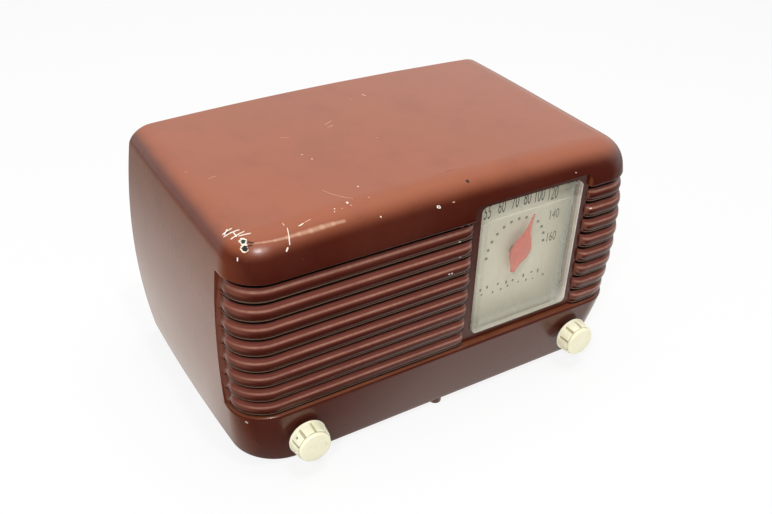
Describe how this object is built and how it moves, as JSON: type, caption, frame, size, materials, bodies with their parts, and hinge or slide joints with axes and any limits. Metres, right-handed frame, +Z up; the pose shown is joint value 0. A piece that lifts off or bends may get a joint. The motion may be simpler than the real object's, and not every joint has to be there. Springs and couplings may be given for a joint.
{
  "type": "table radio",
  "caption": "Small moulded table radio with a ribbed front, a clear dial window with a red pointer, and two fluted knobs that turn.",
  "frame": {"origin": "on the table below the middle of the whole radio's box", "axes": "+X to the right seen from the front, -Y towards the viewer of the front, +Z up"},
  "size_m": [0.2724, 0.1736, 0.1533],
  "materials": {
    "painted_moulding": "semi-gloss brush or spray paint over a brown moulding, chipped to white at edges",
    "clear_plastic": "clear, hazed with age",
    "dial_print": "satin, pale, plain numbers",
    "red_plastic": "satin",
    "ivory_plastic": "satin",
    "brass": "dull",
    "steel": "dull",
    "plated_steel": "dull plating",
    "magnet_steel": "matt",
    "aluminium": "satin",
    "black_plastic": "satin",
    "brown_plastic": "satin",
    "cord": "matt",
    "glass": "clear",
    "cloth": "woven",
    "board": "matt pressed board",
    "cone_paper": "matt paper",
    "copper": "enamelled wire",
    "wax_paper": "waxed",
    "rubber": "matt"
  },
  "bodies": {
    "radio": {"cabinet": "painted_moulding", "dial_lens": "clear_plastic", "dial_plate": "dial_print", "lens_clips": "steel", "baffle_clips": "steel", "speaker_screws": "steel", "volume_control": "black_plastic", "power_switch": "steel", "tuning_bushing": "brass", "chassis": "plated_steel", "dial_bracket": "plated_steel", "gang_support": "plated_steel", "gang_frame": "steel", "gang_stator": "aluminium", "dial_cord": "cord", "lamp_holder": "brass", "dial_lamp": "glass", "grille_cloth": "cloth", "baffle_board": "board", "speaker_basket": "plated_steel", "speaker_magnet": "magnet_steel", "cone_surround": "cone_paper", "spider": "cloth", "output_transformer": "magnet_steel", "transformer_coil": "copper", "filter_capacitor": "aluminium", "if_transformer_1": "aluminium", "if_transformer_2": "aluminium", "converter_valve": "glass", "if_valve": "glass", "detector_valve": "glass", "output_valve": "glass", "rectifier_valve": "glass", "valve_bases": "black_plastic", "valve_sockets": "brown_plastic", "paper_capacitors": "wax_paper", "resistors": "brown_plastic", "chassis_screws": "steel", "back_cover": "board", "loop_aerial": "board", "cord_grommet": "rubber", "back_screws": "steel", "rubber_feet": "rubber"},
    "volume": {"volume_knob": "ivory_plastic", "volume_shaft": "brass"},
    "tuning": {"tuning_knob": "ivory_plastic", "tuning_shaft": "brass"},
    "gang": {"gang_rotor": "aluminium", "drive_drum": "ivory_plastic", "cord_spring": "steel", "pointer": "red_plastic"},
    "cone": {"speaker_cone": "cone_paper", "voice_coil": "copper", "dust_cap": "cone_paper"}
  },
  "joints": [
    {"name": "volume_turn", "type": "hinge", "parent": "radio", "child": "volume", "pos_m": [-0.0963, -0.069, 0.0236], "axis": [0, 1, 0], "range_deg": [0, 300]},
    {"name": "gang_turn", "type": "hinge", "parent": "radio", "child": "gang", "pos_m": [0.0536, -0.069, 0.0931], "axis": [0, 1, 0], "range_deg": [-107.3, 72.7]},
    {"name": "tuning_turn", "type": "hinge", "parent": "radio", "child": "tuning", "pos_m": [0.0963, -0.069, 0.0236], "axis": [0, 1, 0], "range_deg": [-1074, 728]},
    {"name": "cone_travel", "type": "slide", "parent": "radio", "child": "cone", "axis": [0, 1, 0], "range_m": [-0.001, 0.001], "stiffness_N_per_m": 2500, "deforming": ["cone_surround", "spider"]}
  ],
  "couplings": [
    {"joint": "tuning_turn", "follows": "gang_turn", "ratio": 10}
  ]
}
